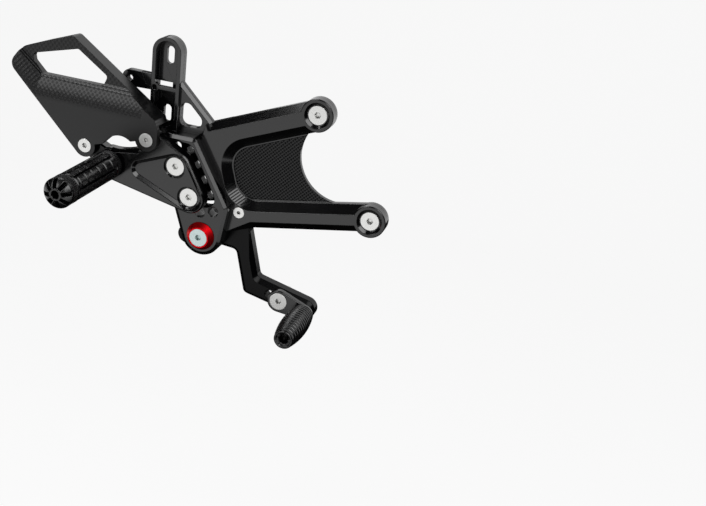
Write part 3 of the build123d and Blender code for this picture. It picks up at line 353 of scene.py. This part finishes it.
def web_relief(tree, place):
    """Height, depth and dullness: paths that cross at 45 degrees, threads in the holes, steps on a bevel."""
    axes = add(tree, "ShaderNodeSeparateXYZ", Vector=place).outputs
    rising, falling = (wave(tree, place, (0.7, 0, side * 0.7), PATH_PITCH) for side in (1, -1))
    floor = between(tree, axes["Y"], *WEB_FLOOR)
    paths = add(tree, "ShaderNodeMath", MAXIMUM, _0=rising, _1=falling)
    paths = add(tree, "ShaderNodeMath", MULTIPLY, _0=paths, _1=floor)
    across = add(tree, "ShaderNodeVectorMath", DOT, _0=place, _1=ROW_ACROSS).outputs["Value"]
    thread = wave(tree, place, (0, 1, 0), THREAD_PITCH)
    for limits in (between(tree, across, *ROW_LIMITS), between(tree, axes["Y"], *THREAD_LIMITS)):
        thread = add(tree, "ShaderNodeMath", MULTIPLY, _0=thread, _1=limits)
    height = add(tree, "ShaderNodeMath", SUM, _0=thread, _1=paths)
    # Between the paths the floor is dullest
    off_rising, off_falling = (between(tree, path, -OPEN, PATH_LEVEL) for path in (rising, falling))
    gaps = add(tree, "ShaderNodeMath", MULTIPLY, _0=off_rising, _1=off_falling)
    rough = add(tree, "ShaderNodeMath", MULTIPLY_ADD, _0=gaps, _1=GAP_DULL, _2=PATH_DULL)
    # The steps are on the bevel at the pocket's lower rear corner
    steps = between(tree, wave(tree, place, STEP_ALONG, STEP_PITCH), 0.0, OPEN)
    for axis, limits in (("X", CORNER_X), ("Y", CORNER_Y), ("Z", CORNER_Z)):
        steps = add(tree, "ShaderNodeMath", MULTIPLY, _0=steps, _1=between(tree, axes[axis], *limits))
    marks = add(tree, "ShaderNodeMath", MULTIPLY, _0=steps, _1=STEP_DULL)
    dull = add(tree, "ShaderNodeMath", MULTIPLY_ADD, _0=floor, _1=rough, _2=marks)
    return height, PATH_DEPTH, dull


plate_finish = anodised("black_anodised_milled_web", 0.15, OXIDE_INDEX, web_relief)
print("plate finish:", plate_finish.name)

# %% Checks on the guard, and the other black finishes
# From the slope's end, 36.9 mm out, to the frame round the window, 29 mm out
GUARD_MILLED = (-36.9 * MM, -28.8 * MM)
CHECK_ALONG, CHECK_ACROSS = ((1, 0, -0.03), 4.0 * MM), ((0.03, 0, 1), 5.0 * MM)
CHECK_DEPTH, CHECK_LEVEL, CHECK_DULL = 0.05 * MM, -0.1, 0.25


def slope_relief(tree, place):
    """Height, depth and dullness: staggered checks, 4 mm apart along the crease, in rows 2.5 mm apart."""
    out = add(tree, "ShaderNodeSeparateXYZ", Vector=place).outputs["Y"]
    along, across = wave(tree, place, *CHECK_ALONG), wave(tree, place, *CHECK_ACROSS)
    checks = add(tree, "ShaderNodeMath", MULTIPLY, _0=along, _1=across)
    milled = between(tree, out, *GUARD_MILLED)
    height = add(tree, "ShaderNodeMath", MULTIPLY, _0=checks, _1=milled)
    low = between(tree, checks, -OPEN, CHECK_LEVEL)
    low = add(tree, "ShaderNodeMath", MULTIPLY, _0=low, _1=milled)
    dull = add(tree, "ShaderNodeMath", MULTIPLY, _0=low, _1=CHECK_DULL)
    return height, CHECK_DEPTH, dull


# The guard and the lever look duller than the oxide's own index gives, so theirs is matched to that
guard_finish = anodised("black_anodised_milled_slope", 0.33, 1.55, slope_relief)
peg_finish = anodised("black_anodised_knurled", 0.24, OXIDE_INDEX)
lever_finish = anodised("black_anodised_lever", 0.22, 1.25)
toe_finish = anodised("black_anodised_turned_rings", 0.28, OXIDE_INDEX)
print("other finishes:", guard_finish.name, peg_finish.name, lever_finish.name, toe_finish.name)

# %% [markdown]
# ## Steel, zinc and red anodising
# The screws are stainless steel with turned heads, the pivot bolt is zinc plated with a cold tint, and
# its collar is dyed red. They are small, so a fine, uneven shine and the edge bevel are enough.

# %% Bright metals
SHINE_SPREAD, METAL_EDGE_R, SOCKET_REACH = 0.06, 0.3 * MM, 3.0 * MM
SOCKET_SHADE, SOCKET_PAINTED_SHADE = {"From_Min": 0.25, "From_Max": 0.70}, "#1A1A1A"


def turned_metal(name, colour, rough, grain_mm):
    """Turned metal: its roughness varies with a noise, drawn at grain_mm so that it shows."""
    material = bpy.data.materials.new(name)
    material.use_nodes = True
    tree = material.node_tree
    tree.nodes.clear()
    place = add(tree, "ShaderNodeTexCoord").outputs["Object"]
    grain = add(tree, "ShaderNodeTexNoise", Vector=place, Scale=1 / (grain_mm * MM), Detail=2.0)
    low, high = rough - SHINE_SPREAD, rough + SHINE_SPREAD
    satin = add(tree, "ShaderNodeMapRange", Value=grain.outputs["Fac"], To_Min=low, To_Max=high)
    edge = add(tree, "ShaderNodeBevel", {"samples": 6}, Radius=METAL_EDGE_R)
    # Painted shade: where little sky reaches, as in the sockets, the base colour is darkened
    crevice_shade_ao = add(tree, "ShaderNodeAmbientOcclusion", {"samples": 8}, Distance=SOCKET_REACH)
    shade = add(tree, "ShaderNodeMapRange", Value=crevice_shade_ao.outputs["AO"], **SOCKET_SHADE)
    dark, bright = linear(SOCKET_PAINTED_SHADE), linear(colour)
    tint = add(tree, "ShaderNodeMix", {"data_type": "RGBA"}, Factor=shade, _6=dark, _7=bright)
    look = {"Base_Color": tint.outputs[2], "Metallic": 1.0, "Roughness": satin, "Normal": edge}
    metal = add(tree, "ShaderNodeBsdfPrincipled", **look)
    add(tree, "ShaderNodeOutputMaterial", Surface=metal)
    return material


stainless = turned_metal("stainless_steel_turned", "#F2F2F0", 0.32, 0.6)
zinc = turned_metal("blue_zinc_plated_steel", "#D4E4E3", 0.30, 0.6)
red_anodised = turned_metal("red_anodised_aluminium", "#F5141E", 0.45, 0.8)
print("bright metals:", stainless.name, zinc.name, red_anodised.name)

# %% Finishes on the CAD pieces
FINISH_OF_SLOT = {
    "black_anodised": black_anodised,
    "stainless": stainless,
    "zinc": zinc,
    "red_anodised": red_anodised,
    "bearing_steel": stainless,
}
for part in frame["record"]["subparts"]:
    mesh = nodes[part["node"]].data
    mesh.materials.clear()
    mesh.materials.append(FINISH_OF_SLOT[part["material_slot"]])

OWN_FINISH = {"base_plate": plate_finish, "heel_guard": guard_finish, "brake_lever": lever_finish}
for node, finish in OWN_FINISH.items():
    nodes[node].data.materials[0] = finish
print("own finishes:", list(OWN_FINISH))

# %% [markdown]
# ## The foot peg
# The peg is a turned bar. Four knurled ribs grip the sole, four wider ribs between them are cut into
# blocks, and the domed crown has eight slots round a deep hole. Cutting all that with booleans would
# leave ragged meshes, so the whole skin is one grid: rows along the profile, columns round the axis.

# %% Foot peg
# Millimetres: reach from the root along the axis, and radius; turns are in degrees
PEG_AXIS, PEG_ROOT, PEG_R, PEG_LENGTH = (-226.5, 10.4), 32.0, 12.6, 90.5
PEG_NECK, PEG_NECK_R, PEG_STEP = 2.6, 9.6, 0.6
PEG_COLLAR, PEG_BODY = (PEG_NECK + PEG_STEP, 8.5), (9.5, 72.5)
PEG_GROOVE, PEG_BAND = (72.9, 74.9), (75.5, 82.5)
PEG_ROWS = np.concatenate([[0, 1.2, 2.4], np.arange(PEG_NECK, 84.4, 0.45)])
RIB_TURN, BLOCK, KNURLED, RIB_SOFT = 33, (-23.5, 23.5), (30.5, 59.5), 3.0
BODY_SINK, FLUTE_DEPTH, GROOVE_DEPTH = 0.2, 3.0, 1.5
CUT_START, CUT_PITCH, CUT, CUT_DEPTH, KNURLED_CUT = 12.0, 10.4, (4.4, 6.0), 1.7, 0.6
KNURL_LOBES, KNURL_PITCH, KNURL_DEPTH = 24, 1.8, 0.60
CROWN_GROOVE_R, CROWN_GROOVE = (11.4, 11.4, PEG_R), (84.5, 85.0, 85.2)
CROWN, CROWN_ROUND = 85.6, 0.9
SLOT_TURN, SLOT_HALF, SLOT_DEPTH, SLOT_LIMITS = 10, 1.75, 5.0, (0.02, 0.84)
PEG_RIM_R, PEG_HOLE_R, PEG_HOLE = 3.6, 3.3, (89.8, 86.0, 80.0, 72.0)


def ease(x):
    """Smooth step: 0 below 0, 1 above 1, the cubic 3x^2 - 2x^3 between."""
    x = np.clip(x, 0, 1)
    return x * x * (3 - 2 * x)


def window(x, low, high, soft):
    """1 between low and high, 0 outside, with soft shoulders."""
    return ease((x - low) / soft) * ease((high - x) / soft)


def rows(values, angle):
    """Grid with one row per value, the same at every angle."""
    return np.array(values, dtype=float)[:, None] + 0 * angle


def foot_peg_skin(columns=400):
    """Radius and reach over (row, angle): a turned profile minus flutes, cuts and slots, then knurled."""
    a = np.linspace(0, 2 * math.pi, columns, endpoint=False)[None, :]
    s = rows(PEG_ROWS, a)
    turn = (np.degrees(a) - RIB_TURN + 45) % 90 - 45
    block, knurled = window(turn, *BLOCK, RIB_SOFT), window(np.abs(turn), *KNURLED, RIB_SOFT)
    body, band, collar = window(s, *PEG_BODY, 1.2), window(s, *PEG_BAND, 0.6), window(s, *PEG_COLLAR, 0.6)
    radius = PEG_R - (PEG_R - PEG_NECK_R) * ease((PEG_NECK + PEG_STEP - s) / PEG_STEP)
    radius = radius - BODY_SINK * body - FLUTE_DEPTH * body * (1 - np.maximum(block, knurled))
    cuts = window((s - CUT_START) % CUT_PITCH, *CUT, 0.45) * body
    radius = radius - CUT_DEPTH * cuts * np.maximum(block, KNURLED_CUT * knurled)
    radius = radius - GROOVE_DEPTH * window(s, *PEG_GROOVE, 0.5)
    lobes, climb = KNURL_LOBES * a, math.pi * s / KNURL_PITCH
    diamond = np.cos(lobes + climb) * np.cos(lobes - climb)
    radius = radius + KNURL_DEPTH * (diamond - 1) * np.maximum.reduce([body * knurled, band, collar])
    # Crown: a groove, a rim, then a dome that rises to the hole, with eight rounded slots
    t = rows(np.linspace(0, 1, 30), a)
    crown_r = PEG_R + (PEG_RIM_R - PEG_R) * t
    crown_s = CROWN + (PEG_LENGTH - CROWN) * np.sin(t * math.pi / 2) ** CROWN_ROUND
    slot_turn = (np.degrees(a) - SLOT_TURN + 22.5) % 45 - 22.5
    slot = np.clip(1 - (np.radians(slot_turn) * crown_r / SLOT_HALF) ** 2, 0, 1) ** 0.5
    crown_s = crown_s - SLOT_DEPTH * slot * window(t, *SLOT_LIMITS, 0.10)
    hole_r = rows([PEG_HOLE_R] * len(PEG_HOLE), a)
    all_r = np.concatenate([radius, rows(CROWN_GROOVE_R, a), crown_r, hole_r])
    all_s = np.concatenate([s, rows(CROWN_GROOVE, a), crown_s, rows(PEG_HOLE, a)])
    return all_r, all_s, a


def turned_piece(name, axis, root, radius, reach, angle):
    """Skin round an axis square to the plate: x and z from radius and angle, y outwards from the root."""
    x, z = axis[0] + radius * np.cos(angle), axis[1] + radius * np.sin(angle)
    grid = np.stack([x, -root - reach, z], axis=-1).transpose(1, 0, 2) * MM
    piece = bpy.data.objects.new(name, mesh_from_grid(name, grid, turned=True))
    bpy.context.scene.collection.objects.link(piece)
    return piece


foot_peg = turned_piece("foot_peg_skin", PEG_AXIS, PEG_ROOT, *foot_peg_skin())
foot_peg.data.materials.append(peg_finish)
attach(foot_peg, "bracket")
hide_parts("foot_peg")
print("foot peg faces:", len(foot_peg.data.polygons))

# %% [markdown]
# ## The toe peg
# The small peg on the lever is a barrel with turned rings, so that a boot neither slips along it nor
# off its end. It is the same kind of grid: the barrel's radius swells to the middle, bell-shaped grooves
# leave the rings, and the end face turns inwards to a scalloped hole.

# %% Toe peg
TOE_AXIS, TOE_ROOT, TOE_LENGTH = (-49.2, -101.3), 4.05, 55.5
TOE_ROOT_R, TOE_R, TOE_END_R = 9.2, 11.8, 8.2
TOE_ROW, TOE_ROUND = 0.2, 0.8
RING_START, RING_PITCH, RING_DEPTH, RING_WIDTH, RING_MARGIN = 4.35, 3.9, 0.95, 0.85, 2.4
# End face: radii, and how far each lies inside the peg's full length
FACE_R = (8.0, 7.7, 7.3, 6.8, 6.4, 6.1, 5.7, 5.2, 4.8)
FACE_IN = np.array([0.3, 0, 0, 0, 0.4, 1.2, 1.4, 1.4, 1.6])
TOE_HOLE_R, TOE_HOLE_IN = 4.2, np.array([2.0, 6.0, 7.8])
SCALLOPS = 5


def toe_peg_skin(columns=256):
    """Radius and reach: a straight taper plus a parabola, minus grooves; scallops round the end's hole."""
    a = np.linspace(0, 2 * math.pi, columns, endpoint=False)[None, :]
    s = rows(np.arange(0, TOE_LENGTH - TOE_ROUND, TOE_ROW), a)
    part = s / TOE_LENGTH
    bulge = TOE_R - (TOE_ROOT_R + TOE_END_R) / 2
    barrel = TOE_ROOT_R + (TOE_END_R - TOE_ROOT_R) * part + 4 * bulge * part * (1 - part)
    from_groove = (s - RING_START + RING_PITCH / 2) % RING_PITCH - RING_PITCH / 2
    ringed = window(s, RING_MARGIN, TOE_LENGTH - RING_MARGIN, 0.6)
    radius = barrel - RING_DEPTH * np.exp(-((from_groove / RING_WIDTH) ** 2)) * ringed
    # Scallops draw the inner radii in and fill the face's innermost step
    scallop = ease(np.cos(SCALLOPS * a) * 1.6 + 0.3)
    face_r, face_s = rows(FACE_R, a), rows(TOE_LENGTH - FACE_IN, a)
    face_r = face_r - 0.7 * scallop * (face_r < 6.2)
    face_s = face_s + 1.2 * scallop * (face_r < 5.9)
    hole_s = rows(TOE_LENGTH - TOE_HOLE_IN, a)
    hole_r = TOE_HOLE_R - 0.5 * scallop + 0 * hole_s
    return np.concatenate([radius, face_r, hole_r]), np.concatenate([s, face_s, hole_s]), a


toe_peg = turned_piece("toe_peg_skin", TOE_AXIS, TOE_ROOT, *toe_peg_skin())
toe_peg.data.materials.append(toe_finish)
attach(toe_peg, "toe")
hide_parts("toe_peg")
print("toe peg faces:", len(toe_peg.data.polygons))
